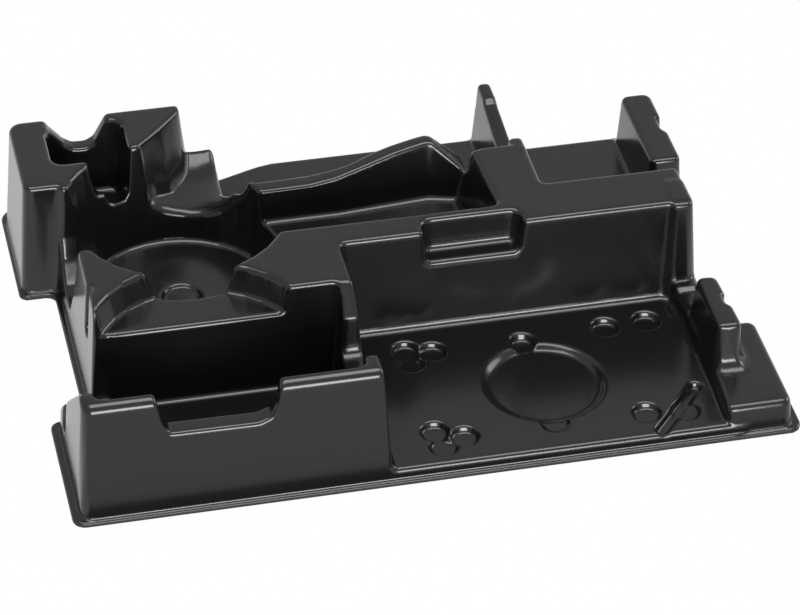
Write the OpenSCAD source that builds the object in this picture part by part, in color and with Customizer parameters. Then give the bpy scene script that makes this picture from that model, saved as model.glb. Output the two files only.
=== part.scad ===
// Tool case insert: one sheet of black plastic, vacuum formed over a mould.
// The mould's shape is form(0). The sheet is form(0) less form(wall), so it has one thickness.
// Plan coordinates run from the flange's front left corner: X right, Y back, Z up, in mm.
// Features on the left and front keep their place; those on the right and back follow the far edges.

/* [Tray] */
// Width of the flange, left to right
tray_w = 376; // [366:1:400]
// Depth of the flange, front to back
tray_d = 268; // [262:1:280]
// Height of the top faces above the surface it rests on
tray_h = 68; // [66:1:74]
// Thickness of the formed sheet
wall = 1.5; // [1.2:0.1:1.8]
// Draft of the walls in degrees
draft = 3.7; // [3:0.1:4.5]
// Radius of the top edges
edge_r = 2.5; // [2:0.1:3]

/* [Flange] */
// Height of the flange's turned down rim
rim_h = 3; // [2.5:0.1:4]
// Depth of the two side notches that clear the case latches
notch_in = 18.5; // [16:0.5:20]
// Front end of the side notches
notch_y0 = 81.5; // [80:0.5:83]
// Length of the side notches
notch_len = 106; // [104:0.5:107]

/* [Tool seat] */
// Radius of the round seat for the tool head
seat_r = 55; // [53:0.5:56]
// Height of the seat's floor
seat_z = 9.5; // [8:0.5:12]
// Height of the floor under the tool body
body_z = 36; // [30:1:40]
// Height of the shelf behind the bridge
shelf_z = 20; // [17:0.5:22]
// Radius of the disc ledge in front of the seat
disc_r = 57.5; // [56:0.5:58]
// Height of the disc ledge
disc_z = 52; // [48:1:55]

/* [Compartments] */
// Right side of the front left compartment
split_x = 158; // [154:1:162]
// Front of the raised bridge
bridge_y = 116; // [114:1:118]
// Height of the compartment floor
box_z = 7; // [6:0.5:9]
// Height of the shallow accessory tray floor
floor_z = 9; // [8:0.5:10]
// Radius of the large round recess in the accessory tray
recess_r = 31.7; // [26:0.1:33]
// Depth of the round recesses
recess_deep = 3; // [2:0.25:4]

/* [Hidden] */
black = [0.09, 0.09, 0.095];
slope = tan(draft);
xr = tray_w; // anchor of what follows the right edge
yb = tray_d; // anchor of what follows the back edge
notch_y1 = notch_y0 + notch_len;
back_in = 5.5; // how much narrower the flange is behind the right notch
seat_back = 107.5; // from the seat's centre to the back edge
seat = [82, yb - seat_back];
pad_rise = 9.5; // from the tray's floor to the pad
pad_z = floor_z + pad_rise;
bridge_end = 129; // from the bridge's right end to the right edge
rib_back = 80; // from the rib's line to the back edge
far = 30; // how far a cutter runs out past the open side

// An outline is a list of [x, y, corner radius], counter-clockwise.

function unit(v) = v / norm(v);
function inward(a, b) = let (u = unit([b[0] - a[0], b[1] - a[1]])) [-u[1], u[0]];

// One corner moved in by d and drawn as an arc of n steps; an inside corner bends the other way.
function corner(a, p, b, d, n) =
    let (
        n0 = inward(a, p),
        n1 = inward(p, b),
        turn = atan2(n0[0] * n1[1] - n0[1] * n1[0], n0 * n1),
        mitre = (n0 + n1) / (1 + n0 * n1),
        s = turn < 0 ? -1 : 1,
        r = max(0.15, p[2] - s * d),
        c = [p[0], p[1]] + mitre * (d + s * r)
    )
    [for (i = [0 : n]) let (t = turn * i / n)
        c - s * r * [n0[0] * cos(t) - n0[1] * sin(t), n0[0] * sin(t) + n0[1] * cos(t)]];

function ring(o, d, z, n) = [for (i = [0 : len(o) - 1])
    each [for (q = corner(o[(i + len(o) - 1) % len(o)], o[i], o[(i + 1) % len(o)], d, n))
        [q[0], q[1], z]]];

function box(x0, y0, x1, y1, r) = [[x0, y0, r], [x1, y0, r], [x1, y1, r], [x0, y1, r]];
function disc(c, r) = box(c[0] - r, c[1] - r, c[0] + r, c[1] + r, r);
function mix(a, b, t) = [for (i = [0 : len(a) - 1]) a[i] + (b[i] - a[i]) * t];

// Solid through rings given as [outline, inset, z] from the bottom up.
module loft(levels, n) {
    rings = [for (l = levels) ring(l[0], l[1], l[2], n)];
    m = len(rings[0]);
    k = len(rings);
    polyhedron(
        points = [for (r = rings) each r],
        faces = concat(
            [[for (i = [0 : m - 1]) i]],
            [for (j = [0 : k - 2], i = [0 : m - 1]) let (a = j * m + i, b = j * m + (i + 1) % m)
                each [[a + m, b, a], [a + m, b + m, b]]],
            [[for (i = [m - 1 : -1 : 0]) (k - 1) * m + i]]
        ),
        convexity = 8
    );
}

// Raised block: the outline is its theoretical edge at the top, from which it widens downward.
// With foot it leans from that outline at foot_z instead of by the draft alone.
module boss(o, top, t, r = edge_r, n = 2, foot = undef, foot_z = 0) {
    z = top - t;
    q = max(r - t, 0.5);
    z0 = is_undef(foot) ? (t > 0 ? -1 : 0) : foot_z;
    low = is_undef(foot) ? o : foot;
    lean = is_undef(foot) ? slope : 0;
    loft([
        [low, t - lean * (top - z0), z0],
        [mix(low, o, 1 - q / (top - z0)), t - lean * q, z - q],
        [o, t + q * 0.3, z - q * 0.3],
        [o, t + q, z]
    ], n);
}

// Hollow: the outline is its theoretical edge at the top, and foot is its outline at the floor.
module pocket(o, floor, t, top = tray_h, foot = undef, r = edge_r, n = 2) {
    deep = top - floor;
    low = is_undef(foot) ? o : foot;
    lean = is_undef(foot) ? slope : 0;
    q = max(r - t, 0.4);
    b = min(r, deep / 3) + t;
    loft([
        [low, lean * deep - t + b, floor - t],
        [mix(low, o, b * 0.3 / deep), lean * deep - t + b * 0.3, floor - t + b * 0.3],
        [mix(low, o, b / deep), lean * (deep - b) - t, floor - t + b],
        [mix(low, o, 1 - q / deep), lean * q - t, top - t - q],
        [o, -t - q * 0.3, top - t - q * 0.3],
        [o, -t - q, top - t],
        [o, -t - q, top + 2]
    ], n);
}

// Round or long shallow recess with plain sloping sides.
module dimple(a, b, r, z, deep, t, f = 16) {
    hull() for (p = [a, b])
        translate([p[0], p[1], z - deep - t])
            cylinder(h = deep + t + 1, r1 = r - deep * 0.35 + t, r2 = r + 0.35 + t, $fn = f);
}

// Cutter through a wall that runs along X: its profile is drawn as [x, z].
module cut_y(points, y0, y1, t) {
    translate([0, y1 + t, 0]) rotate([90, 0, 0])
        linear_extrude(y1 - y0 + 2 * t) offset(delta = t) polygon(points);
}

// Cutter through a wall that runs along Y: its profile is drawn as [y, z].
module cut_x(points, x0, x1, t) {
    translate([x0 - t, 0, 0]) rotate([90, 0, 90])
        linear_extrude(x1 - x0 + 2 * t) offset(delta = t) polygon(points);
}

module flange(t) {
    edge = [
        [0, 0, 7], [xr, 0, 7], [xr, notch_y0, 5], [xr - notch_in, notch_y0, 5],
        [xr - notch_in, notch_y1, 4], [xr - back_in, notch_y1, 5], [xr - back_in, yb, 9], [0, yb, 9],
        [0, notch_y1, 5], [notch_in, notch_y1, 5], [notch_in, notch_y0, 5], [0, notch_y0, 5]
    ];
    z = rim_h - t;
    loft([
        [edge, t, t > 0 ? -1 : 0],
        [edge, t, z - 0.7],
        [edge, t + 0.7, z]
    ], 2);
}

// Low floor that everything else grows out of.
module base(t) {
    x0 = 6;
    x1 = notch_in + 4.5;
    x2 = notch_in + 3.2;
    boss([
        [x0, 4.4, 10], [xr - x0, 4.4, 9], [xr - x0, notch_y0 - 6, 8],
        [xr - x2, notch_y0 - 4, 3], [xr - x2, notch_y1 + 3.5, 3],
        [xr - back_in - 4.5, notch_y1 + 3.5, 5], [xr - back_in - 4.5, yb - 7.5, 8], [x0, yb - 9, 8],
        [x0, notch_y1 + 6, 8], [x1, notch_y1 + 6, 5], [x1, notch_y0 - 6, 5],
        [x0, notch_y0 - 6, 8]
    ], floor_z, t);
}

// Everything that reaches the full height, before the hollows are cut.
module body(t) {
    boss([
        [8, 8.8, 6], [xr - 29.5, 8.8, 5], [xr - 29.5, yb - 11.5, 6], [6, yb - 11.5, 7],
        [6, notch_y1 + 7, 5], [notch_in + 7, notch_y1 + 7, 3],
        [notch_in + 7, notch_y0 - 7.5, 3], [8, notch_y0 - 7.5, 5]
    ], tray_h, t);
}

// Column at the bridge's right end, with the step at its foot.
module bridge_column(t) {
    boss(box(xr - 40.5, bridge_y - 3, xr - 29.5, bridge_y + 20, 3), tray_h, t);
    boss(box(xr - 39, bridge_y - 13, xr - 26.5, bridge_y + 10, 2), pad_z + 3.5, t, 1.5, 1);
}

// Low pad at the front right, with the rib that stands on it.
module front_pad(t) {
    boss([
        [xr - 37, 4.7, 4], [xr - 5.6, 4.7, 5], [xr - 5.6, notch_y0 - 9, 5], [xr - 37, notch_y0 - 9, 3]
    ], pad_z, t);
    boss([
        [xr - 35.6, 42, 3], [xr - 22.8, 41, 3], [xr - 23.5, 57, 2], [xr - 26, 60.5, 2],
        [xr - 26.2, 67.5, 0.5], [xr - 24.2, 67.5, 2], [xr - 24.8, 83, 4], [xr - 35.6, 84, 4]
    ], pad_z + 24, t, foot = [
        [xr - 38, 29, 3], [xr - 20.5, 28, 3], [xr - 21, 57, 2], [xr - 23.5, 60.5, 2],
        [xr - 24, 67.5, 0.5], [xr - 22, 67.5, 2], [xr - 22.5, 87, 4], [xr - 38, 87, 4]
    ], foot_z = 5);
}

// Rib at the back right, the twin of the one on the front pad.
module back_rib(t) {
    boss([
        [xr - 28.6, yb - 76, 3], [xr - 12, yb - 76, 3.5], [xr - 12, yb - 50, 2],
        [xr - 14.6, yb - 45.5, 2], [xr - 14.6, yb - 34.5, 0.5], [xr - 12, yb - 34.5, 2],
        [xr - 12, yb - 11.5, 5], [xr - 28.6, yb - 11.5, 4]
    ], pad_z + 21, t);
}

// Narrow rib at the middle of the back, tall at the edge and sloping forward.
module middle_rib(t) {
    difference() {
        boss([
            [xr - 110.5, yb - 82, 1.5], [xr - 104.7, yb - 82, 1.5], [xr - 104.7, yb - 12, 2.4],
            [xr - 110.5, yb - 12, 2.4]
        ], 57, t, foot = [
            [xr - 115, yb - 86, 2], [xr - 99, yb - 86, 2], [xr - 99, yb - 9, 3],
            [xr - 115, yb - 9, 3]
        ], foot_z = 5, r = 2);
        cut_x([
            [yb - 90, 70], [yb - 90, 45], [yb - 60, 50.5], [yb - 28, 57.5], [yb - 28, 70]
        ], xr - 120, xr - 90, t);
    }
}

// Shallow accessory tray, open to the front, and its recesses.
module accessory_tray(t) {
    pocket([[split_x, -far, 3], [xr + far, -far, 3], [xr + far, bridge_y, 3],
        [split_x, bridge_y, 3.5]], floor_z, t);
    round_off(4.4, floor_z, split_x + 5, xr - 38, 1, t);
    c = [(split_x + xr - 27.4) / 2, 55.5];
    dimple(c, c, recess_r, floor_z, recess_deep, t, 48);
    for (p = [c + [-3, recess_r + 3], c + [-2.5, -recess_r - 1.5]])
        dimple(p, p, 7.2, floor_z, 2.6, t);
    left = split_x + 31;
    right = xr - 56;
    for (p = [
        [left, 95], [left + 13.6, 91.5], [left + 0.5, 84.5], [left, 28], [left + 14, 21.3],
        [left + 2, 15.8]
    ])
        dimple(p, p, 7.6, floor_z, recess_deep, t);
    for (p = [[right - 24, 93.5], [right - 1.5, 94.5], [right - 24, 18.5], [right, 17.8]])
        dimple(p, p, 7.8, floor_z, recess_deep, t);
    dimple([right - 23, -5], [right + 8, 35.3], 3.9, floor_z, 3.6, t);
}

// Rounds the open edge of a floor at height z: y is the edge, dir points inward from it.
module round_off(y, z, x0, x1, dir, t) {
    r = edge_r;
    cut_x([
        [y - dir * 5, z - r], [y, z - r], [y + dir * r * 0.3, z - r * 0.3], [y + dir * r, z],
        [y + dir * r, z + 4], [y - dir * 5, z + 4]
    ], x0, x1, t);
}

// Floor at the back right, open to the back.
module back_floor(t) {
    pocket([[xr - 103, bridge_y + 31, 4], [xr + far, bridge_y + 31, 3],
        [xr + far, yb + far, 3], [xr - 103, yb + far, 3]], floor_z, t);
    round_off(yb - 7.5, floor_z, xr - 96, xr - 34, -1, t);
}

// Deep compartment at the front left.
module compartment(t) {
    pocket([
        [15, 15.4, 6], [split_x - 7.5, 15.4, 5], [split_x - 6, notch_y0 + 3.5, 5],
        [notch_in + 10.5, notch_y0 + 3.5, 3], [notch_in + 10.5, notch_y0 - 13, 3],
        [15, notch_y0 - 13, 5]
    ], box_z, t);
    pocket(box(34, 30, 116, notch_y0 + 2.4, 2), disc_z - 10, t, disc_z);
    // the left wall falls away behind the front corner
    cut_x([
        [18.5, tray_h + 3], [22, tray_h - 1], [40, 51], [52, 40], [68, 24], [notch_y0, 12.5],
        [notch_y0 + 3.6, tray_h + 3]
    ], -5, notch_in + 14.5, t);
    groove([4.6, 60], 14, t);
    groove([notch_in + 6.2, 104], 38, t);
    // thumb notch in the front wall
    cut_y([
        [43, tray_h + 3], [44.5, 66], [47, 52], [50.5, 47.5], [95, 47], [101, 49.5],
        [104.5, 56], [106, 66], [108, tray_h + 3]
    ], -5, 30, t);
    // dip in the wall toward the accessory tray
    cut_x([
        [22, tray_h + 3], [24.5, 60], [26, 34], [29, 31], [66, 31], [69.2, 32.6], [70.8, 36],
        [72, 52.3], [84, 68], [86, tray_h + 3]
    ], split_x - 16, split_x + 12, t);
}

// Upright groove in an outer wall.
module groove(p, z, t) {
    hull() {
        translate([p[0], p[1], z - t + 3]) cylinder(h = tray_h, r = 4 + t, $fn = 20);
        translate([p[0], p[1], z - t]) cylinder(h = 1, r = 2 + t, $fn = 20);
    }
}

// Ledge for a disc: an arc cut in the top behind the compartment.
module disc_ledge(t) {
    c = [75.5, 57];
    intersection() {
        pocket(disc(c, disc_r), disc_z, t, foot = disc(c, disc_r - 3), n = 10);
        translate([0, 70, 0]) cube([160, 80, 90]);
    }
}

// Round seat for the tool's head, with the open side at the left.
module head_seat(t) {
    pocket(disc(seat, seat_r), seat_z, t, foot = disc(seat, seat_r - 2.7), n = 10);
    dimple(seat + [1, 3], seat + [1, 3], 10.5, seat_z, 2, t, 32);
    y = seat[1];
    cut_x([
        [y - 24, tray_h + 3], [y - 22, 60], [y - 13, 34], [y - 6, 19], [y - 2, 15.5],
        [y + 6, 15.5], [y + 14, 18], [y + 24, 26], [y + 29, 38], [y + 31, tray_h + 3]
    ], 10, 60, t);
}

// Straight seat for the tool's body, from the round seat to the block at its right end.
module body_seat(t) {
    y0 = bridge_y + 17;
    y1 = yb - rib_back;
    x1 = xr - bridge_end;
    pocket([
        [70, y0, 2], [x1, y0, 5], [x1 - 3.5, y1 - 2, 4], [x1 - 23, y1 + 8, 5],
        [x1 - 75, y1 + 0.5, 8], [70, y1, 2]
    ], body_z, t, foot = [
        [70, y0 + 3, 2], [x1 - 9, y0 + 3, 5], [x1 - 10, y1 - 4.5, 4], [x1 - 27, y1 - 4, 5],
        [x1 - 75, y1 - 4.5, 8], [70, y1 - 4.5, 2]
    ]);
    // wavy top of the rib behind the seat
    cut_y([
        [116, tray_h + 3], [116, 54.5], [x1 - 90, 55], [x1 - 77, 57], [x1 - 62, 60.5],
        [x1 - 44, 64.8], [x1 - 26, tray_h - 0.3], [x1 - 22, tray_h - 0.8], [x1 - 5, 53],
        [x1 + 0.5, 52], [x1 + 0.5, tray_h + 3]
    ], y1 - 4.5, y1 + 30, t);
}

// Flat shelf behind that rib, open to the back; its left end runs down beside the cradle.
module back_shelf(t) {
    y1 = yb - rib_back;
    x1 = xr - bridge_end;
    x2 = xr - 98;
    pocket([
        [128.5, y1 + 6.8, 1.5], [x1 - 68, y1 + 7, 12], [x1 - 53, y1 + 11.3, 12],
        [x1 - 24, y1 + 15.5, 2.5], [x1 - 5, y1 + 9.8, 2], [x1 - 0.7, y1 + 6.5, 1.5],
        [x1 + 0.3, y1 - 3.2, 1], [x2, y1 - 3.2, 1], [x2, yb + far, 1], [123, yb + far, 1],
        [123, y1 + 14, 2]
    ], shelf_z, t);
    intersection() {
        pocket([
            [115.3, y1 + 33.5, 3], [119, y1 + 24.5, 2], [123.3, y1 + 13, 2], [128.5, y1 + 6.6, 1],
            [150, y1 + 6.6, 1], [150, yb + far, 1], [117.3, yb + far, 1]
        ], 5, t, top = 50);
        cut_y([
            [112, 60], [112, shelf_z - 9.9], [146, shelf_z], [155, shelf_z], [155, 60]
        ], y1 - 5, yb + far, t);
    }
    round_off(yb - 8.4, shelf_z, 146, xr - 112, -1, t);
}

// Scoop from the round seat to the back; the tall block's face leans out toward it.
module cradle(t) {
    front = [-80, 94, 32, 59.3];
    lip = [-60, 94, 32, 59.3];
    back = [-12, 108, 60, 95.5];
    end = [far, 108, 60, 95.5];
    intersection() {
        pocket([
            [72, seat[1] + 20, 2], [130, seat[1] + 20, 2], [130, yb + far, 2], [98, yb + far, 2],
            [98, yb - 17.5, 6], [91.8, yb - 24.5, 4], [85.5, yb - 31.3, 4], [79, yb - 38, 3],
            [72, yb - 44.5, 2]
        ], 22, t, r = 2, foot = [
            [78, seat[1] + 20, 2], [130, seat[1] + 20, 2], [130, yb + far, 2],
            [105, yb + far, 2], [104.7, yb - 9, 4], [100.5, yb - 23, 12], [91, yb - 38.5, 8],
            [81, yb - 44, 3], [77, yb - 51, 2]
        ]);
        union() for (pair = [[front, lip], [lip, back], [back, end]])
            hull() for (e = pair)
                translate([e[1], yb + e[0], e[3]]) rotate([-90, 0, 0])
                    cylinder(h = 1, r = e[2] + t, $fn = 72);
    }
}

// Tall pocket in the back left block, with openings to the seat and to the back.
module tall_pocket(t) {
    // the block's front leans back from the foot of the round seat
    pocket(disc(seat + [-6, 8.6], seat_r - 1.8), seat_z, t, foot = disc(seat, seat_r - 2.7), n = 10);
    pocket([[24, yb - 54, 7], [66, yb - 54, 7], [66, yb - 18.5, 8], [24, yb - 18.5, 8]], 24, t);
    cut_y([
        [42, tray_h + 3], [44, 57], [46.5, 48], [51, 46], [53, 40.5], [56, 38.3],
        [60.5, 38.8], [63.5, 43], [65, tray_h + 3]
    ], yb - 75, yb - 45, t);
    cut_y([
        [24, tray_h + 3], [27, 65], [35, 55], [40, 51.5], [47, 51.2], [51.5, 54],
        [57, 65], [60, tray_h + 3]
    ], yb - 24, yb + far, t);
}

// Finger grip in the front of the bridge.
module bridge_grip(t) {
    x0 = split_x + 44.6;
    x1 = split_x + 98;
    y0 = bridge_y - 20;
    y1 = bridge_y + 11;
    pocket([[x0, y0, 3], [x1, y0, 3], [x1, y1, 6], [x0, y1, 6]], tray_h - 19, t,
        foot = [[x0 + 1.5, y0, 3], [x1 - 2.5, y0, 3], [x1 - 2.5, y1 - 1, 5], [x0 + 1.5, y1 - 1, 5]]);
}

// The mould, with t as the distance below its surface.
module form(t) {
    difference() {
        union() {
            flange(t);
            base(t);
            body(t);
        }
        accessory_tray(t);
        back_floor(t);
        compartment(t);
        disc_ledge(t);
        head_seat(t);
        body_seat(t);
        back_shelf(t);
        cradle(t);
        tall_pocket(t);
        bridge_grip(t);
    }
    bridge_column(t);
    front_pad(t);
    back_rib(t);
    middle_rib(t);
}

module insert() {
    color(black) translate([-tray_w / 2, -tray_d / 2, 0]) difference() {
        form(0);
        form(wall);
    }
}

insert();
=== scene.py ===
# %% [markdown]
# # A vacuum-formed tool case insert in Blender
#
# The insert is one sheet of black plastic that was heated and sucked down over a mould. Every edge of such
# a part is soft, because the sheet can't follow a sharp corner. On black plastic those soft edges are nearly
# all that can be seen: each one catches the studio lights as a thin bright line.
#
# It could be drawn face by face with bevels, but here many soft edges meet and fade out, which bevels don't
# follow well. So the mould is a distance field on a grid of small cells: every block is added with a fillet,
# every hollow is cut with a rounded rim, and the sheet is the layer just under the mould's surface. All
# lengths in the shape cells are millimetres, measured from the rim's front left corner: x to the right, y to
# the back, z up.

import math

import bpy
import numpy as np
import openvdb
from mathutils import Matrix, Vector


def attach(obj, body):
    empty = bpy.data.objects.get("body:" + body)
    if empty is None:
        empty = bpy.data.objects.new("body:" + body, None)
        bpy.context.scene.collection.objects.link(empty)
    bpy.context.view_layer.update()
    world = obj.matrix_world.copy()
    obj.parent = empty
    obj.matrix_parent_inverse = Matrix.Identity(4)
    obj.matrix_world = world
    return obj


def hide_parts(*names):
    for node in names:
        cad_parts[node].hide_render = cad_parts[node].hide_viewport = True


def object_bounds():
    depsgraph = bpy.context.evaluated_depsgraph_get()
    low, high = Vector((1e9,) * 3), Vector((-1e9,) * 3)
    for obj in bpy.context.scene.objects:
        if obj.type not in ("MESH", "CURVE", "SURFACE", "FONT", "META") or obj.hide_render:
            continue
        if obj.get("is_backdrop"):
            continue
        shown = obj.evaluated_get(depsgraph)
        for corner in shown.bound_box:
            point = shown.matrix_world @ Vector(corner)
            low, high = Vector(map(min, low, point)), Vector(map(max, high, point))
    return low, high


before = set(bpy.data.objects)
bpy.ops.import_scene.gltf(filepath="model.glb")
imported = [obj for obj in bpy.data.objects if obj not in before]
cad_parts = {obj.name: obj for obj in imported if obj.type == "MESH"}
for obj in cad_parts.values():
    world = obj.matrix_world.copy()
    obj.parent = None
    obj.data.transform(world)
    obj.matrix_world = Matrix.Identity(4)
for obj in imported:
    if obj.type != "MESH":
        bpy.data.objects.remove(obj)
lo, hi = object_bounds()
cad_size = [hi[i] - lo[i] for i in range(3)]
print("the packed model measures", [round(v * 1000, 1) for v in cad_size], "mm")

# %% [markdown]
# ## The dimensions
#
# The numbers that drive the part's source come first, so that both models keep one size. What belongs to the
# right or to the back is measured from that edge. Some outlines in later cells differ from the source by one
# to three millimetres: the front wall, the pad, the middle rib and a few dimples. They were set by the photo
# after the source was finished. Profiles that cut a wall open end at OVER, a little above the tops.

# %% The dimensions
WIDTH, DEPTH, HEIGHT = 376.0, 268.0, 68.0
WALL = 1.5
SLOPE = math.tan(math.radians(3.7))
EDGE = 2.5
RIM = 3.0
NOTCH_IN, NOTCH_0, NOTCH_1 = 18.5, 81.5, 187.5
BACK_IN = 5.5
SEAT, SEAT_R, SEAT_Z = (82.0, DEPTH - 107.5), 55.0, 9.5
BODY_Z, SHELF_Z = 36.0, 20.0
LEDGE_R, LEDGE_Z = 57.5, 52.0
SPLIT, BRIDGE = 158.0, 116.0
BOX_Z, FLOOR_Z = 7.0, 9.0
PAD_Z = FLOOR_Z + 9.5
FAR = 30.0
OVER = HEIGHT + 3.0
R, B = WIDTH, DEPTH
print("wall", WALL, "mm, draft", round(math.degrees(math.atan(SLOPE)), 1), "degrees")

# %% [markdown]
# ## The grid
#
# The form could be kept as faces, or as a number for each cell of a grid that says how far the surface is.
# The second way is used, because adding and cutting then need no clean faces. The cells are 0.55 mm wide,
# small enough that a rounding of 2 mm is almost four cells across. The margin leaves room for the blur, and
# the few cells below the table let the sheet be cut off flat at z = 0.

# %% The grid
CELL, MARGIN, EMPTY = 0.55, 4.0, 20.0
X = np.arange(-MARGIN, WIDTH + MARGIN, CELL, dtype=np.float32)
Y = np.arange(-MARGIN, DEPTH + MARGIN, CELL, dtype=np.float32)
Z = np.arange(-3 * CELL, HEIGHT + MARGIN, CELL, dtype=np.float32)
field = np.full((len(X), len(Y), len(Z)), EMPTY, np.float32)
print("cells:", field.shape, round(field.size / 1e6, 1), "million")


def filled(step):
    """Says which share of the cells lies inside the mould."""
    print(step, round(float((field < 0).mean()), 3))


def span(axis, a, b):
    """The cells of an axis between two places."""
    i = max(0, int((a - axis[0]) / CELL))
    j = min(len(axis), int((b - axis[0]) / CELL) + 2)
    return slice(i, max(i, j))


# %% [markdown]
# ## Outlines
#
# On the mould every corner is rounded by the tool that milled it. An outline is a list of corners
# [x, y, radius], counter-clockwise, and a function turns each into an arc of points. Drawing the arcs as
# curves would give the same, but then a corner couldn't be moved by changing one number.

# %% Outlines
def rounded(corners, steps=8):
    points = []
    for i, (x, y, r) in enumerate(corners):
        p = np.array([x, y])
        a = np.array(corners[i - 1][:2]) - p
        b = np.array(corners[(i + 1) % len(corners)][:2]) - p
        la, lb = np.linalg.norm(a), np.linalg.norm(b)
        a, b = a / la, b / lb
        half = math.acos(max(-1.0, min(1.0, float(a @ b)))) / 2
        reach = min(r / math.tan(half), 0.499 * la, 0.499 * lb)
        start, end = p + a * reach, p + b * reach
        centre = p + (a + b) / np.linalg.norm(a + b) * (reach / math.cos(half))
        u, v = start - centre, end - centre
        turn = math.pi - 2 * half
        for k in range(steps + 1):
            t = k / steps
            w = (math.sin((1 - t) * turn) * u + math.sin(t * turn) * v) / math.sin(turn)
            points.append(centre + w)
    return np.array(points, np.float32)


print("a rounded square has", len(rounded([[0, 0, 2], [9, 0, 2], [9, 9, 2], [0, 9, 2]])), "points")

# %% [markdown]
# ## The distance from an outline
#
# For every cell of a plane the nearest side of the outline counts, and the distance is negative inside. A
# cell is inside when an odd number of sides lies to its right. Blender can find the nearest face of a mesh,
# but one point at a time, and this way takes a whole plane at once.


# %% The distance from an outline
def chain_distance(points, u, v):
    gu, gv = u[:, None], v[None, :]
    best = np.full((len(u), len(v)), 1e9, np.float32)
    inside = np.zeros(best.shape, bool)
    for (u0, v0), (u1, v1) in zip(points, np.roll(points, -1, 0)):
        eu, ev = u1 - u0, v1 - v0
        if eu * eu + ev * ev < 1e-9:
            continue
        wu, wv = gu - u0, gv - v0
        t = np.clip((wu * eu + wv * ev) / (eu * eu + ev * ev), 0, 1)
        best = np.minimum(best, (wu - eu * t) ** 2 + (wv - ev * t) ** 2)
        if v0 != v1:
            crosses = ((v0 <= gv) != (v1 <= gv)) & (gu < eu * (gv - v0) / ev + u0)
            inside ^= crosses
    best = np.sqrt(best)
    return np.where(inside, -best, best)


def box(x0, y0, x1, y1, r):
    return [[x0, y0, r], [x1, y0, r], [x1, y1, r], [x0, y1, r]]


def disc(c, r):
    return box(c[0] - r, c[1] - r, c[0] + r, c[1] + r, r)


centre = chain_distance(rounded(disc((0, 0), 10)), np.zeros(1), np.zeros(1))
print("the middle of a 20 mm disc lies", round(float(centre[0, 0]), 1), "mm from its edge")

# %% [markdown]
# ## Adding and cutting with soft edges
#
# The soft edges come from here. `join` is a union whose inner corner is filled with an arc, and `carve` takes
# a shape away and rounds the rim it leaves. A Boolean with a bevel after it would often fail where three
# such edges meet. Both functions work on a part of the grid only, which keeps them quick.

# %% Adding and cutting with soft edges
def meet(a, b, r):
    """Where both fields are negative, with the outer edge rounded to radius r."""
    corner = np.sqrt(np.maximum(a + r, 0) ** 2 + np.maximum(b + r, 0) ** 2)
    return np.minimum(-r, np.maximum(a, b)) + corner


def join(where, shape, r):
    a = field[where]
    corner = np.sqrt(np.maximum(r - a, 0) ** 2 + np.maximum(r - shape, 0) ** 2)
    field[where] = np.maximum(r, np.minimum(a, shape)) - corner


def carve(where, shape, r=EDGE):
    field[where] = meet(field[where], -shape, r)


def soften(plane, rounds):
    """Rounds the corners of a flat distance field."""
    for _ in range(rounds):
        for axis in (0, 1):
            padded = np.pad(plane, [(1, 1) if k == axis else (0, 0) for k in (0, 1)], "edge")
            near = np.take(padded, range(0, plane.shape[axis]), axis)
            far = np.take(padded, range(2, plane.shape[axis] + 2), axis)
            plane = 0.25 * near + 0.5 * plane + 0.25 * far
    return plane


set_back = meet(np.zeros(1), np.zeros(1), 2.0)
print("a 2 mm edge lies", round(float(set_back[0]), 2), "mm inside the sharp corner")

# %% [markdown]
# ## Draft
#
# A mould has draft: its blocks widen downward and its hollows narrow downward, or the sheet would never come
# off. Scaling the outline would also give a slope, but not the same one on every side. Adding the slope to
# the distance keeps all walls at one angle. Where a second outline is given for the foot, the two distances
# are mixed by height, and the wall leans as the outlines ask.

# %% Draft
def area(outlines, grow, z0, z1):
    p = np.concatenate([rounded(o, 3) for o in outlines])
    return (
        span(X, p[:, 0].min() - grow, p[:, 0].max() + grow),
        span(Y, p[:, 1].min() - grow, p[:, 1].max() + grow),
        span(Z, z0, z1),
    )


def walls(where, o, foot, z, z_top, z_foot, side):
    """Distance from the drafted walls; side is -1 for a block and 1 for a hollow."""
    flat = chain_distance(rounded(o), X[where[0]], Y[where[1]])[:, :, None]
    if foot is None:
        return (flat + side * SLOPE * (z_top - z)) * math.cos(math.atan(SLOPE))
    low = chain_distance(rounded(foot), X[where[0]], Y[where[1]])[:, :, None]
    t = np.clip((z_top - z) / (z_top - z_foot), 0, 1)
    return flat * (1 - t) + low * t


def places(where):
    return X[where[0]][:, None, None], Y[where[1]][None, :, None], Z[where[2]][None, None, :]


print("draft over the full height:", round(SLOPE * HEIGHT, 1), "mm")

# %% [markdown]
# ## Blocks and hollows
#
# A block stands on the floor and gets a fillet at its foot. A hollow is pressed down from the top and gets a
# round bottom corner and a round rim. Both could be extruded curves, and the outline is drawn just as it
# would be for those. `keep` limits a hollow to one side of a plane or a line.


# %% Blocks and hollows
def block(o, top, foot=None, foot_z=0.0, r=EDGE, fillet=2.0):
    where = area([o, foot or o], 8 + SLOPE * top, Z[0], top + 7)
    x, y, z = places(where)
    if callable(r):
        r = r(y)
    if callable(fillet):
        fillet = fillet(x)
    shape = meet(walls(where, o, foot, z, top, foot_z, -1), z - top, r)
    join(where, shape, fillet)


def hollow(o, floor, top=HEIGHT, foot=None, r=EDGE, keep=None, low_r=3.0, keep_r=1.0):
    where = area([o, foot or o], 8, floor - 7, Z[-1])
    x, y, z = places(where)
    shape = meet(walls(where, o, foot, z, top, floor, 1), floor - z, low_r)
    if top < HEIGHT:
        shape = np.maximum(shape, z - top - 2)
    if keep is not None:
        shape = meet(shape, keep(x, y, z), keep_r)
    carve(where, shape, r)


print("round bottom corners of 3.0 mm, rims of", EDGE, "mm")

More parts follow.
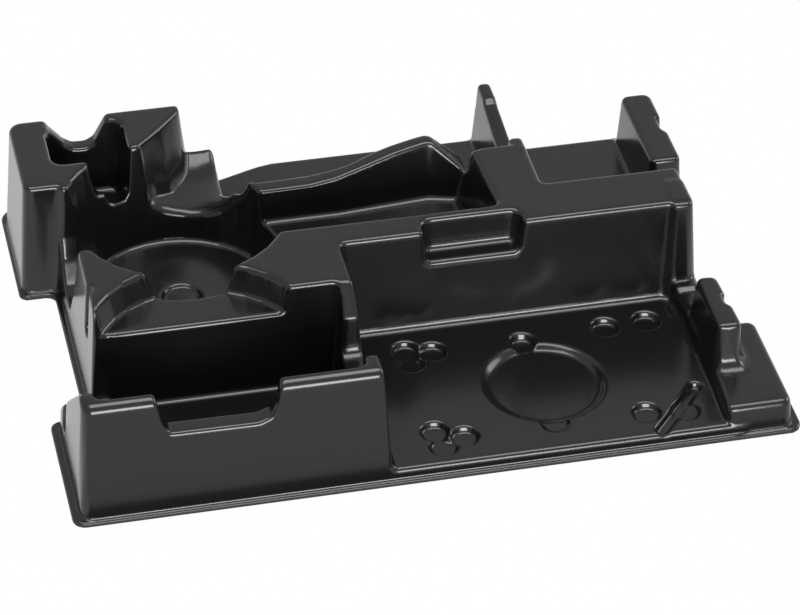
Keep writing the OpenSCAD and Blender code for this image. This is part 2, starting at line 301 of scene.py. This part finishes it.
# %% [markdown]
# ## Dimples
#
# A dimple is a shallow round pressing that keeps a small part in its place. With two ends apart the same
# function makes a long slot. A cylinder with a bevel would do as well, but here the leaning wall and the soft
# rim come out of one formula.


# %% Dimples
def dimple(a, b, r, top, deep, lean=0.35, rim=1.0):
    where = (
        span(X, min(a[0], b[0]) - r - 6, max(a[0], b[0]) + r + 6),
        span(Y, min(a[1], b[1]) - r - 6, max(a[1], b[1]) + r + 6),
        span(Z, top - deep - 5, top + 5),
    )
    x, y, z = places(where)
    ex, ey = b[0] - a[0], b[1] - a[1]
    t = np.clip(((x - a[0]) * ex + (y - a[1]) * ey) / max(ex * ex + ey * ey, 1e-6), 0, 1)
    away = np.sqrt((x - a[0] - ex * t) ** 2 + (y - a[1] - ey * t) ** 2)
    side = (away - r - lean * (z - top)) * math.cos(math.atan(lean))
    carve(where, meet(side, top - deep - z, 1.0), rim)


print("a dimple's wall leans", round(math.degrees(math.atan(0.35))), "degrees unless told otherwise")

# %% [markdown]
# ## Cutters
#
# An opening through a wall is easiest to draw from the side, as a flat profile, and to push through the wall.
# The profile is blurred a little first, so that its corners are soft in its own plane too.


# %% Cutters
def cut_y(points, y0, y1, r=2.0, soft=5):
    """A cutter along y; its profile is a list of (x, z)."""
    p = np.array(points, np.float32)
    where = (span(X, p[:, 0].min() - 8, p[:, 0].max() + 8), span(Y, y0 - 8, y1 + 8), slice(0, len(Z)))
    flat = soften(chain_distance(p, X[where[0]], Z), soft)[:, None, :]
    y = Y[where[1]][None, :, None]
    carve(where, np.maximum(flat, np.maximum(y0 - y, y - y1)), r)


def cut_x(points, x0, x1, r=2.0, soft=5):
    """A cutter along x; its profile is a list of (y, z)."""
    p = np.array(points, np.float32)
    where = (span(X, x0 - 8, x1 + 8), span(Y, p[:, 0].min() - 8, p[:, 0].max() + 8), slice(0, len(Z)))
    flat = soften(chain_distance(p, Y[where[1]], Z), soft)[None, :, :]
    x = X[where[0]][:, None, None]
    carve(where, np.maximum(flat, np.maximum(x0 - x, x - x1)), r)


print("cutters reach", round(float(Z[-1]), 1), "mm up, over the tops at", HEIGHT, "mm")

# %% [markdown]
# ## The rim
#
# The rim is the flat flange around the insert. It has a notch on either side that clears the latches of the
# case. It could be a plate with bevelled edges. Here it is the first shape that joins the empty grid.

# %% The rim
rim = [
    [0, -0.7, 7], [R, -0.7, 7], [R, NOTCH_0, 5], [R - NOTCH_IN, NOTCH_0, 5],
    [R - NOTCH_IN, NOTCH_1, 4], [R - BACK_IN, NOTCH_1, 5], [R - BACK_IN, B, 9], [0, B, 9],
    [0, NOTCH_1, 5], [NOTCH_IN, NOTCH_1, 5], [NOTCH_IN, NOTCH_0, 5], [0, NOTCH_0, 5],
]
where = area([rim], 8, Z[0], RIM + 7)
flat = chain_distance(rounded(rim), X[where[0]], Y[where[1]])[:, :, None]
join(where, meet(flat + 0 * Z[where[2]], Z[where[2]][None, None, :] - RIM + 0 * flat, 1.1), 0.1)
filled("rim on:")

# %% [markdown]
# ## The low floor and the tall body
#
# The body is one tall block, and everything in it is cut out afterwards, because that gives all its walls the
# same top. Its front edge is the softest one, so its rounding is a function of y. Its front wall leans more
# than the others and ends almost at the rim's edge: a wide flat rim there would draw two more bright lines,
# and the real one has just one.

# %% The low floor and the tall body
x1, x2 = NOTCH_IN + 4.5, NOTCH_IN + 3.2
block([
    [12, 10, 6], [R - 11, 10, 6], [R - 11, NOTCH_0 - 6, 6],
    [R - x2, NOTCH_0 - 4, 3], [R - x2, NOTCH_1 + 3.5, 3],
    [R - BACK_IN - 4.5, NOTCH_1 + 3.5, 5], [R - BACK_IN - 4.5, B - 7.5, 8], [6, B - 9, 8],
    [6, NOTCH_1 + 6, 8], [x1, NOTCH_1 + 6, 5], [x1, NOTCH_0 - 6, 5], [6, NOTCH_0 - 6, 8],
], FLOOR_Z)
block([
    [8, 8.6, 6], [R - 29.5, 8.6, 5], [R - 29.5, B - 11.5, 6], [6, B - 11.5, 7],
    [6, NOTCH_1 + 7, 5], [NOTCH_IN + 7, NOTCH_1 + 7, 3],
    [NOTCH_IN + 7, NOTCH_0 - 7.5, 3], [8, NOTCH_0 - 7.5, 5],
], HEIGHT, foot=[
    [3.6, 0.9, 7], [R - 25.1, 0.9, 6], [R - 25.1, B - 7.1, 9], [1.6, B - 7.1, 9],
    [1.6, NOTCH_1 + 2.6, 6], [NOTCH_IN + 2.6, NOTCH_1 + 2.6, 5],
    [NOTCH_IN + 2.6, NOTCH_0 - 3.1, 5], [3.6, NOTCH_0 - 3.1, 7],
], r=lambda y: np.interp(y, [14, 18], [5.0, EDGE]), fillet=0.4)
filled("body on:")

# %% [markdown]
# ## The accessory tray
#
# The tray is open to the front. It has a wide round recess with two finger notches, two clusters of three
# dimples, four single ones and a slot. All of them are the same cut, a disc or a long stadium whose wall
# leans, so one function makes them. The recess leans the most, which gives it the broad grey band of a
# shallow pressing.

# %% The accessory tray
DIMPLE, DEEP, RECESS_R = 7.6, 3.5, 31.7
hollow([[SPLIT, -FAR, 3], [R + FAR, -FAR, 3], [R + FAR, BRIDGE, 3], [SPLIT, BRIDGE, 3.5]], FLOOR_Z)
c = np.array([(SPLIT + R - 27.4) / 2, 55.5])
dimple(c, c, RECESS_R, FLOOR_Z, 3.2, lean=0.85)
for p, deep in ((c + [-3, 34.7], 4.4), (c + [-2.5, -33.2], 2.4)):
    dimple(p, p, 7.2, FLOOR_Z, deep)
left, right = SPLIT + 31, R - 56
clusters = [
    (left, 95), (left + 13.6, 91.5), (left + 0.5, 84.5), (left, 28), (left + 14, 21.3), (left + 2, 15.8),
]
for p in clusters:
    dimple(p, p, DIMPLE, FLOOR_Z, DEEP)
singles = [(right - 24, 93.5), (right - 1.5, 94.5), (right - 21.5, 21), (right - 1.5, 18.7)]
for p in singles:
    dimple(p, p, DIMPLE + 0.2, FLOOR_Z, DEEP)
dimple((right - 17.3, 6.2), (right + 8.5, 36), DIMPLE / 2, FLOOR_Z, DEEP)
filled("tray cut:")

# %% [markdown]
# ## The bay at the back right
#
# The bay is open to the back and reaches down to the same low floor. Its outline simply runs past the end of
# the mould, which is the easy way to leave a side open.

# %% The bay at the back right
bay = [[R - 103, BRIDGE + 31, 4], [R + FAR, BRIDGE + 31, 3], [R + FAR, B + FAR, 3], [R - 103, B + FAR, 3]]
hollow(bay, FLOOR_Z)
filled("bay cut:")

# %% [markdown]
# ## The front compartment
#
# Its left wall falls away behind the corner, its front wall has a thumb notch, and the wall toward the
# accessory tray dips so that a cable can cross it. Each of these openings is a profile drawn in a vertical
# plane and pushed through the wall, which is simpler than a hollow with a sloping floor.

# %% The front compartment
hollow([
    [15, 15.4, 6], [SPLIT - 7.5, 15.4, 5], [SPLIT - 6, NOTCH_0 + 3.5, 5],
    [NOTCH_IN + 10.5, NOTCH_0 + 3.5, 3], [NOTCH_IN + 10.5, NOTCH_0 - 13, 3], [15, NOTCH_0 - 13, 5],
], BOX_Z)
cut_x([
    (18.5, OVER), (22, 67), (40, 51), (52, 40), (68, 24), (81, 12.5), (84.2, OVER),
], -5, NOTCH_IN + 14.5, soft=3)
cut_y([
    (43, OVER), (44.5, 66), (47, 52), (50.5, 47.5), (95, 47),
    (101, 49.5), (104.5, 56), (106, 66), (108, OVER),
], -5, 30)
cut_x([
    (22, OVER), (24.5, 60), (26, 34), (29, 31), (66, 31), (69.2, 32.6),
    (70.8, 36), (72, 52.3), (84, 68), (86, OVER),
], SPLIT - 16, SPLIT + 12, r=1.5, soft=2)
filled("front compartment cut:")

# %% [markdown]
# ## The grooves in the outer wall
#
# Two upright half-round grooves stiffen the outer wall. Each is a cylinder that tapers off at its foot. A
# cone joined to a cylinder would do as well, but one radius that grows with the height makes both at once.


# %% The grooves in the outer wall
def groove(px, py, z0):
    where = (span(X, px - 11, px + 11), span(Y, py - 11, py + 11), span(Z, z0 - 6, Z[-1]))
    x, y, z = places(where)
    side = np.sqrt((x - px) ** 2 + (y - py) ** 2) - np.clip(2 + (z - z0) * 0.67, 0, 4)
    carve(where, np.maximum(side, z0 - z), 0.8)


groove(4.6, 60, 14)
groove(NOTCH_IN + 6.2, 104, 38)
filled("grooves cut:")

# %% [markdown]
# ## The round seat and the disc ledge
#
# The ledge is the part of a second circle that lies behind the front compartment. The round seat breaks
# through the outer wall at the left. The tall block behind it leans back: its edge at the top is a larger
# circle that is shifted away from the seat, so the lean fades out to both sides.

# %% The round seat and the disc ledge
c = (75.5, 57.0)
hollow(disc(c, LEDGE_R), LEDGE_Z, foot=disc(c, LEDGE_R - 3),
       keep=lambda x, y, z: 70 - y + 0 * x + 0 * z, low_r=2.0)

foot, lean = disc(SEAT, SEAT_R - 2.7), disc((SEAT[0] - 6, SEAT[1] + 8.6), SEAT_R - 1.8)
where = area([disc(SEAT, SEAT_R + 10)], 8, SEAT_Z - 7, Z[-1])
x, y, z = places(where)
sides = np.minimum(walls(where, disc(SEAT, SEAT_R), foot, z, HEIGHT, SEAT_Z, 1),
                   walls(where, lean, foot, z, HEIGHT, SEAT_Z, 1))
carve(where, meet(sides, SEAT_Z - z, 3.0))
p = (SEAT[0] + 1, SEAT[1] + 3)
dimple(p, p, 10.5, SEAT_Z, 2.0)
y = SEAT[1]
cut_x([
    (y - 24, OVER), (y - 22, 60), (y - 13, 34), (y - 6, 19), (y - 2, 15.5), (y + 6, 15.5),
    (y + 14, 18), (y + 24, 26), (y + 29, 38), (y + 31, OVER),
], 10, 60)
filled("round seat cut:")

# %% [markdown]
# ## The seat for the tool's body, and the shelf behind it
#
# The seat is a straight hollow in the bridge, and the rib behind it has a wavy top. Behind the rib lies a
# flat shelf that is open to the back. Its left end runs down beside the cradle, as a second hollow that is
# kept only above a slanting plane. The wave is one profile along y, and a small notch ends it at the right.

# %% The seat for the tool's body, and the shelf behind it
y0, y1, x1 = BRIDGE + 17, B - 80, R - 129
hollow([
    [70, y0, 2], [x1, y0, 5], [x1 - 3.5, y1 - 2, 4], [x1 - 23, y1 + 8, 2],
    [x1 - 75, y1 + 0.5, 8], [70, y1, 2],
], BODY_Z, foot=[
    [70, y0 + 3, 2], [x1 - 9, y0 + 3, 5], [x1 - 10, y1 - 4.5, 4], [x1 - 26, y1 - 0.8, 6],
    [x1 - 75, y1 - 4.5, 8], [70, y1 - 4.5, 2],
])
hollow([
    [128.5, y1 + 6.8, 1.5], [x1 - 68, y1 + 7, 12], [x1 - 53, y1 + 11.3, 12], [x1 - 24, y1 + 15.5, 2.5],
    [x1 - 5, y1 + 9.8, 2], [x1 - 0.7, y1 + 6.5, 1.5], [x1 + 0.3, y1 - 3.2, 1], [R - 98, y1 - 3.2, 1],
    [R - 98, B + FAR, 1], [123, B + FAR, 1], [123, y1 + 14, 2],
], SHELF_Z)
hollow([
    [115.3, y1 + 33.5, 3], [119, y1 + 24.5, 2], [123.3, y1 + 13, 2], [128.5, y1 + 8.6, 1],
    [150, y1 + 8.6, 1], [150, B + FAR, 1], [117.3, B + FAR, 1],
], 5, top=50, keep=lambda x, y, z: SHELF_Z + 0.291 * (np.minimum(x, 146) - 146) - z + 0 * y, keep_r=2.0)
cut_y([
    (116, OVER), (116, 54.5), (x1 - 90, 55), (x1 - 77, 57), (x1 - 62, 60.5), (x1 - 44, 64.8), (x1 - 26, 67.7),
    (x1 - 22, 67.2), (x1 - 5, 53), (x1 + 0.5, 52), (x1 + 0.5, OVER),
], y1 - 4.5, y1 + 30, soft=4)
cut_y([
    (x1 - 5, 60), (x1 - 5, 48.5), (x1 - 3.5, 46.8), (x1 + 0.5, 46.8), (x1 + 0.5, 60),
], y1 - 6, y1 + 12, r=1.2, soft=1)
filled("body's seat cut:")

# %% [markdown]
# ## The cradle
#
# A scoop for the side handle leads from the round seat to the back. It widens on the way, its floor curves
# up to the back edge, and its lip toward the seat is a very soft one. It is a cylinder whose middle, radius
# and height change along y. As faces that would be a loft of many sections, as a field it is one formula.

# %% The cradle
o = [
    [72, SEAT[1] + 20, 2], [130, SEAT[1] + 20, 2], [130, B + FAR, 2], [98, B + FAR, 2], [98, B - 17.5, 6],
    [91.8, B - 24.5, 4], [85.5, B - 31.3, 4], [79, B - 38, 3], [72, B - 44.5, 2],
]
foot = [
    [78, SEAT[1] + 20, 2], [130, SEAT[1] + 20, 2], [130, B + FAR, 2], [105, B + FAR, 2], [104.7, B - 9, 4],
    [100.5, B - 23, 12], [91, B - 38.5, 8], [81, B - 44, 3], [77, B - 51, 2],
]
where = area([o, foot], 8, 12, Z[-1])
x, y, z = places(where)
t = np.clip((y - (B - 60)) / 48, 0, 1)
cx, cr = 94 + 14 * t, 32 + 28 * t
cz = 26.9 + cr + 30 - np.sqrt(30**2 - np.clip(y - (B - 31.5), 0, 24) ** 2)
scoop = np.sqrt((x - cx) ** 2 + np.minimum(z - cz, 0) ** 2) - cr
carve(where, meet(walls(where, o, foot, z, HEIGHT, 22, 1), scoop, 1.5), np.clip(2 + (44 - z) * 0.2, 2, 4.5))
filled("cradle cut:")

# %% [markdown]
# ## The tall block at the back left
#
# Its pocket opens to the seat by a narrow slot and to the back by a shallow valley.

# %% The tall block at the back left
hollow([[24, B - 54, 7], [66, B - 54, 7], [66, B - 18.5, 8], [24, B - 18.5, 8]], 24)
cut_y([
    (42, OVER), (44, 57), (46.5, 48), (51, 46), (53, 40.5), (56, 38.3), (60.5, 38.8), (63.5, 43), (65, OVER),
], B - 75, B - 45, soft=2)
cut_y([(24, OVER), (27, 65), (35, 55), (40, 51.5), (47, 51.2), (51.5, 54), (57, 65), (60, OVER)],
      B - 24, B + FAR)
filled("tall pocket cut:")

# %% [markdown]
# ## The finger grip
#
# The grip is a pocket in the bridge's front edge, open to the top and to the front. Its ends lean inward.

# %% The finger grip
x0, x1, y0, y1 = SPLIT + 44.6, SPLIT + 98, BRIDGE - 20, BRIDGE + 11
hollow([[x0, y0, 3], [x1, y0, 3], [x1, y1, 6], [x0, y1, 6]], HEIGHT - 19,
       foot=[[x0 + 1.5, y0, 3], [x1 - 2.5, y0, 3], [x1 - 2.5, y1 - 1, 5], [x0 + 1.5, y1 - 1, 5]])
filled("finger grip cut:")

# %% [markdown]
# ## The column and the pad
#
# What stands on the low floors is added last, because those floors had to be cut first. The column closes the
# bridge at the right and has a small foot. The pad lies beside the tray, and a strip of it runs back to the
# column.

# %% The column and the pad
block(box(R - 40.5, BRIDGE - 3, R - 29.5, BRIDGE + 20, 3), HEIGHT)
block(box(R - 110.5, B - 92, R - 103, B - 77.5, 2.5), HEIGHT, fillet=0.3)
block(box(R - 39, BRIDGE - 13, R - 26.5, BRIDGE + 10, 2), PAD_Z + 1.8, r=2.2)
pad = [[R - 40, 4.2, 4], [R - 5.6, 4.2, 5], [R - 5.6, NOTCH_0 - 9, 5], [R - 36.5, NOTCH_0 - 9, 3]]
pad_foot = [[R - 41.2, 1, 5], [R - 4.4, 1, 6], [R - 4.4, NOTCH_0 - 7.8, 6], [R - 37.7, NOTCH_0 - 7.8, 3]]
block(pad, PAD_Z, foot=pad_foot, r=3.2, fillet=0.4)
block(box(R - 38.2, 60, R - 27, BRIDGE, 2), PAD_Z, r=2.0)
filled("column and pad on:")

# %% [markdown]
# ## The two fins at the right
#
# Both fins have a step in their right side. The front one spreads toward its foot, and its fillet grows from
# the flush left side to the right, so the fillet is a function of x.

# %% The two fins at the right
block([
    [R - 35.6, 41.2, 2.8], [R - 23, 40.4, 2.8], [R - 23.5, 57, 2], [R - 26, 60.5, 2],
    [R - 26.2, 67.5, 0.5], [R - 24.2, 67.5, 2], [R - 24.8, 83, 4], [R - 35.6, 84, 4],
], PAD_Z + 24, foot=[
    [R - 38.6, 32.2, 2], [R - 21.5, 31.6, 2], [R - 21.5, 57, 2], [R - 23.5, 60.5, 2],
    [R - 24, 67.5, 0.5], [R - 22, 67.5, 2], [R - 22.5, 87, 4], [R - 38.6, 87, 4],
], foot_z=5, fillet=lambda x: np.interp(x, [R - 37, R - 34], [2.0, 6.0]))
block([
    [R - 28.6, B - 76, 3], [R - 12, B - 76, 3.5], [R - 12, B - 50, 2], [R - 14.6, B - 45.5, 2],
    [R - 14.6, B - 34.5, 0.5], [R - 12, B - 34.5, 2], [R - 12, B - 11.5, 5], [R - 28.6, B - 11.5, 4],
], PAD_Z + 21)
filled("fins on:")

# %% [markdown]
# ## The middle rib
#
# This rib is thin at the top and wide at the foot, and its top slopes down to the front with one small step.
# The slope is a height for each y, so it can't be a plain block.

# %% The middle rib
RIB_TOP, RIB_FOOT = 57.0, 5.0
o = [[R - 111.2, B - 82, 1.5], [R - 104, B - 82, 1.5], [R - 104, B - 11, 2.4], [R - 111.2, B - 11, 2.4]]
foot = [[R - 115, B - 86, 2], [R - 99, B - 86, 2], [R - 99, B - 9, 3], [R - 115, B - 9, 3]]
where = area([foot], 10, Z[0], RIB_TOP + 9)
z = Z[where[2]][None, None, :]
rib_y = [B - 82, B - 60, B - 29, B - 26, B]
rib_z = [46.7, 50.5, 55.8, 58.3, 58.7]
top = np.interp(Y[where[1]], rib_y, rib_z)[None, :, None]
shape = meet(walls(where, o, foot, z, RIB_TOP, RIB_FOOT, -1), (z - top) * 0.98, 2.0)
join(where, shape.astype(np.float32), 2.5)
filled("middle rib on:")

# %% [markdown]
# ## Softening, and the sheet
#
# A hot sheet bridges every sharp inner corner a little and thins over every outer one. Two rounds of a
# small blur do the same to the field. A Smooth modifier on the mesh would also shrink the walls. The sheet is
# what lies between the surface and 1.5 mm under it.

# %% Softening, and the sheet
def blur(a):
    for axis in range(3):
        near = np.concatenate([np.take(a, [0], axis), np.take(a, range(a.shape[axis] - 1), axis)], axis)
        far = np.concatenate([np.take(a, range(1, a.shape[axis]), axis), np.take(a, [-1], axis)], axis)
        a = 0.25 * near + 0.5 * a + 0.25 * far
        del near, far
    return a


KEPT, ROUNDS = 6, 2
np.clip(field, -KEPT, KEPT, out=field)
for _ in range(ROUNDS):
    field = blur(field)
sheet = np.maximum(np.maximum(field, -(field + WALL)), -Z[None, None, :])
print("sheet volume:", round(float((sheet < 0).sum()) * CELL**3 / 1000, 1), "cm3")

# %% [markdown]
# ## From the field to a mesh
#
# OpenVDB turns the field into polygons and merges them where the surface is flat. Blender's Remesh modifier
# does the same with a mesh, but here there is no mesh to begin with.

# %% From the field to a mesh
band, flatness = 3 * CELL, 0.02
grid = openvdb.FloatGrid(band)
grid.copyFromArray(np.clip(sheet, -band, band))
points, triangles, quads = grid.convertToPolygons(0.0, flatness)
print("mesh:", len(points), "points", len(triangles), "triangles", len(quads), "quads")


def triangle_count(m):
    return sum(len(p.vertices) - 2 for p in m.polygons)


faces = [tuple(int(v) for v in f) for f in quads] + [tuple(int(v) for v in f) for f in triangles]
origin = np.array([X[0], Y[0], Z[0]])
metres = (points * CELL + origin - [WIDTH / 2, DEPTH / 2, 0]) / 1000
mesh = bpy.data.meshes.new("insert_sheet")
mesh.from_pydata(metres.tolist(), [], faces)
mesh.validate()
insert = bpy.data.objects.new("insert_sheet", mesh)
bpy.context.scene.collection.objects.link(insert)
print("triangles:", triangle_count(mesh))

# %% [markdown]
# ## Normals from the field
#
# The polygons are small and uneven, and shading by them would show as facets in the gloss. So each vertex
# takes its normal from the slope of the field at its place. Then the flat walls stay flat and the roundings
# reflect smoothly.


# %% Normals from the field
def slope_at(a, at):
    """The direction in which the field rises, at places given in cells."""
    low = np.clip(np.floor(at).astype(int), 1, np.array(a.shape) - 3)
    w = (at - low).astype(np.float32)
    total = np.zeros((len(at), 3), np.float32)
    for i in (0, 1):
        for j in (0, 1):
            for k in (0, 1):
                share = (
                    np.abs(1 - i - w[:, 0]) * np.abs(1 - j - w[:, 1]) * np.abs(1 - k - w[:, 2])
                )[:, None]
                p = low + [i, j, k]
                rise = [
                    a[tuple((p + step).T)] - a[tuple((p - step).T)]
                    for step in np.eye(3, dtype=int)
                ]
                total += share * np.stack(rise, 1)
    return total / np.maximum(np.linalg.norm(total, axis=1, keepdims=True), 1e-6)


print("normals come from", sheet.shape, "cells")

# %% [markdown]
# ## Fewer triangles
#
# The grid gives about a million triangles, which is far more than the form needs. The Decimate modifier keeps
# those that carry the roundings. After it the normals are read from the field once more, at the places of
# the vertices that are left.

# %% Fewer triangles
LIMIT = 190000
if triangle_count(mesh) > LIMIT:
    thin = insert.modifiers.new("thin", "DECIMATE")
    thin.ratio = LIMIT / triangle_count(mesh)
    dg = bpy.context.evaluated_depsgraph_get()
    lighter = bpy.data.meshes.new_from_object(insert.evaluated_get(dg))
    insert.modifiers.clear()
    insert.data = lighter
    mesh = lighter
at = np.empty(len(mesh.vertices) * 3, np.float32)
mesh.vertices.foreach_get("co", at)
at = (at.reshape(-1, 3) * 1000 + [WIDTH / 2, DEPTH / 2, 0] - origin) / CELL
normals = slope_at(sheet, at)
mesh.shade_smooth()
mesh.normals_split_custom_set_from_vertices(normals.tolist())
flipped = sum(p.normal.dot(Vector(normals[p.vertices[0]].tolist())) < 0 for p in mesh.polygons)
print("triangles kept:", triangle_count(mesh), "turned over:", flipped)

# %% [markdown]
# ## Satin black plastic
#
# The sheet is black all through. What the eye reads is the gloss: fairly smooth, with the faint unevenness
# that a formed sheet has, and a fine grain that softens the reflections of the lamps. Both come from
# noise in the object's own coordinates, so they stay in place when the part is turned. A picture as a texture
# would need the sheet to be unwrapped first.

# %% Satin black plastic
BLACK, GLOSS_LOW, GLOSS_HIGH = (0.004, 0.004, 0.0042, 1), 0.17, 0.23
black = bpy.data.materials.new("satin_black")
black.use_nodes = True
nodes, links = black.node_tree.nodes, black.node_tree.links
shader = nodes["Principled BSDF"]
shader.inputs["Base Color"].default_value = BLACK
shader.inputs["IOR"].default_value = 1.5
place = nodes.new("ShaderNodeTexCoord")

cloud = nodes.new("ShaderNodeTexNoise")
cloud.inputs["Scale"].default_value = 14
cloud.inputs["Detail"].default_value = 3
gloss = nodes.new("ShaderNodeMapRange")
gloss.inputs["To Min"].default_value = GLOSS_LOW
gloss.inputs["To Max"].default_value = GLOSS_HIGH
links.new(place.outputs["Object"], cloud.inputs["Vector"])
links.new(cloud.outputs["Fac"], gloss.inputs["Value"])

grain = nodes.new("ShaderNodeTexNoise")
grain.inputs["Scale"].default_value = 900
grain.inputs["Detail"].default_value = 2
bump = nodes.new("ShaderNodeBump")
bump.inputs["Strength"].default_value = 0.05
bump.inputs["Distance"].default_value = 0.0002
links.new(place.outputs["Object"], grain.inputs["Vector"])
links.new(grain.outputs["Fac"], bump.inputs["Height"])
links.new(bump.outputs["Normal"], shader.inputs["Normal"])
print("roughness from", GLOSS_LOW, "to", GLOSS_HIGH)

# %% [markdown]
# ## The trimmed edge
#
# After forming, the sheet is cut off along the rim. A cut edge is matte, and on the photo it is a dark line
# under the bright one. It could have a material of its own, but the sheet is to keep one. So the roughness is
# 0.6 up to 2 mm above the table and fades out to 2.6 mm, and where two values meet the greater one counts.

# %% The trimmed edge
MATTE, MATTE_TO, GLOSSY_FROM = 0.6, 0.0020, 0.0026
height = nodes.new("ShaderNodeSeparateXYZ")
cut = nodes.new("ShaderNodeMapRange")
cut.inputs["From Min"].default_value = MATTE_TO
cut.inputs["From Max"].default_value = GLOSSY_FROM
cut.inputs["To Min"].default_value = MATTE
cut.inputs["To Max"].default_value = 0.0
dull = nodes.new("ShaderNodeMath")
dull.operation = "MAXIMUM"
links.new(place.outputs["Object"], height.inputs["Vector"])
links.new(height.outputs["Z"], cut.inputs["Value"])
links.new(gloss.outputs["Result"], dull.inputs[0])
links.new(cut.outputs["Result"], dull.inputs[1])
links.new(dull.outputs["Value"], shader.inputs["Roughness"])
print("material:", black.name, "with", len(nodes), "nodes")

# %% [markdown]
# ## Giving the piece to the frame
#
# The imported model shows the insert as a plain solid. The sheet stands in its place, rides on the only body
# and gets the satin black material as its one slot. Nothing of the solid is left to show through.

# %% Giving the piece to the frame
mesh.materials.clear()
mesh.materials.append(black)
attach(insert, "root")
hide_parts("insert")
print("the sheet stands for the node insert")

# %% [markdown]
# ## The camera
#
# Its place, direction and lens were solved from the photo: the rim's corners, the level edges and the
# circle of the round seat fix them to about a pixel. The lens is given as a focal length in pixels, because
# that is what such a solution gives, and turned into millimetres for Blender.

# %% The camera
WIDE, FOCAL, SENSOR = 800, 3749.5, 36
EYE = (-0.3550, -1.5280, 1.2186)
scene = bpy.context.scene
azimuth, elevation, roll = map(math.radians, (-13.32, 37.66, 1.08))
forward = Vector((
    -math.sin(azimuth) * math.cos(elevation), math.cos(azimuth) * math.cos(elevation), -math.sin(elevation)
))
level = Vector((math.cos(azimuth), math.sin(azimuth), 0))
up = level.cross(forward)
across = math.cos(roll) * level + math.sin(roll) * up
above = math.cos(roll) * up - math.sin(roll) * level
turned = Matrix((across, above, -forward)).transposed().to_4x4()
camera = bpy.data.objects.new("camera", bpy.data.cameras.new("camera"))
scene.collection.objects.link(camera)
camera.matrix_world = Matrix.Translation(EYE) @ turned
camera.data.sensor_width = SENSOR
camera.data.lens = FOCAL / WIDE * SENSOR
camera.data.clip_end = 20
scene.camera = camera
scene.view_settings.view_transform = "Standard"
print("lens:", round(camera.data.lens, 1), "mm")

# %% [markdown]
# ## The tent and the lamps
#
# Black plastic shows hardly anything but what it reflects, so a white tent matters more than the lamps: it
# makes the tops grey. Each soft edge then mirrors two lamps one after the other, a wide one overhead and a
# low one in front, and that draws the double lines along the edges. A weak one at the right lifts the sides.

# %% The tent and the lamps
world = bpy.data.worlds.new("tent")
scene.world = world
world.use_nodes = True
sky = world.node_tree.nodes["Background"]
sky.inputs["Color"].default_value = (1, 1, 1, 1)
sky.inputs["Strength"].default_value = 0.64


def lamp(name, place, aim, width, height, watts):
    data = bpy.data.lights.new(name, "AREA")
    data.shape = "RECTANGLE"
    data.size, data.size_y, data.energy = width, height, watts
    obj = bpy.data.objects.new(name, data)
    scene.collection.objects.link(obj)
    direction = Vector(aim) - Vector(place)
    obj.matrix_world = Matrix.Translation(place) @ direction.to_track_quat("-Z", "Y").to_matrix().to_4x4()


lamp("above", (0.0, -0.35, 1.9), (0, 0, 0), 2.4, 0.9, 40)
lamp("front", (-0.2, -2.6, 0.66), (0, 0, 0), 2.2, 0.85, 92)
lamp("right", (2.2, 0.2, 0.9), (0, 0, 0), 1.2, 1.0, 16)

# %% [markdown]
# ## The table
#
# The part stands on a white ground, here a sheet of paper. With Light Path it is white where the camera or a
# reflection sees it, and a middle grey for the light that it throws back. More lamps would make it white too,
# but they would light the part as well. The left faces mirror this white, which makes them the lightest ones.

# %% The table
bpy.ops.mesh.primitive_plane_add(size=6, location=(0, 0, -0.0002))
table = bpy.context.object
table.name = "table"
paper = bpy.data.materials.new("white_paper")
paper.use_nodes = True
pn, pl = paper.node_tree.nodes, paper.node_tree.links
matte = pn["Principled BSDF"]
matte.inputs["Base Color"].default_value = (0.36, 0.36, 0.36, 1)
matte.inputs["Roughness"].default_value = 0.9
white = pn.new("ShaderNodeEmission")
white.inputs["Strength"].default_value = 1.0
ray = pn.new("ShaderNodeLightPath")
both = pn.new("ShaderNodeMixShader")
seen = ray.outputs["Is Camera Ray"]
for kind in ("Is Glossy Ray", "Is Transmission Ray"):
    either = pn.new("ShaderNodeMath")
    either.operation = "MAXIMUM"
    pl.new(seen, either.inputs[0])
    pl.new(ray.outputs[kind], either.inputs[1])
    seen = either.outputs["Value"]
pl.new(seen, both.inputs["Fac"])
pl.new(matte.outputs["BSDF"], both.inputs[1])
pl.new(white.outputs["Emission"], both.inputs[2])
pl.new(both.outputs["Shader"], pn["Material Output"].inputs["Surface"])
table.data.materials.append(paper)
table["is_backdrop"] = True
print("table:", [round(v, 1) for v in table.dimensions[:2]], "m")

# %% [markdown]
# ## Two cards in front
#
# A photographer lays cards beside a glossy object to darken what it mirrors. A grey one in front keeps the
# front walls darker than the left ones. A narrow black one along the rim is painted shade: it stands in for
# the contact shadow close to the object, so that the front walls darken toward their foot. The camera doesn't
# see them.


# %% Two cards in front
def card(name, y0, y1, width, shade):
    bpy.ops.mesh.primitive_plane_add(size=1, location=(0, (y0 + y1) / 2, 0.0002))
    sheet = bpy.context.object
    sheet.name = name
    sheet.scale = (width, y1 - y0, 1)
    felt = bpy.data.materials.new(name)
    felt.use_nodes = True
    cloth = felt.node_tree.nodes["Principled BSDF"]
    cloth.inputs["Base Color"].default_value = (shade, shade, shade, 1)
    cloth.inputs["Roughness"].default_value = 0.9
    cloth.inputs["Specular IOR Level"].default_value = 0.1
    sheet.data.materials.append(felt)
    sheet.visible_camera = False
    sheet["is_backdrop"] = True


NEAR, RIM_SIDE = -0.153, -0.136
# painted shade: a black sheet, unseen by the camera, in place of the contact shadow in front of the rim
card("painted_shade_card", NEAR, RIM_SIDE, 0.38, 0.01)
card("grey_card", -0.6, NEAR, 1.0, 0.42)
print("cards from y =", NEAR, "m forward")

# %% [markdown]
# ## The sizes, and the end
#
# The dressed model is measured once more, so that its box can be set against the imported model's.

# %% The sizes, and the end
lo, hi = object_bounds()
print("the visual model measures", [round((hi[i] - lo[i]) * 1000, 1) for i in range(3)], "mm")
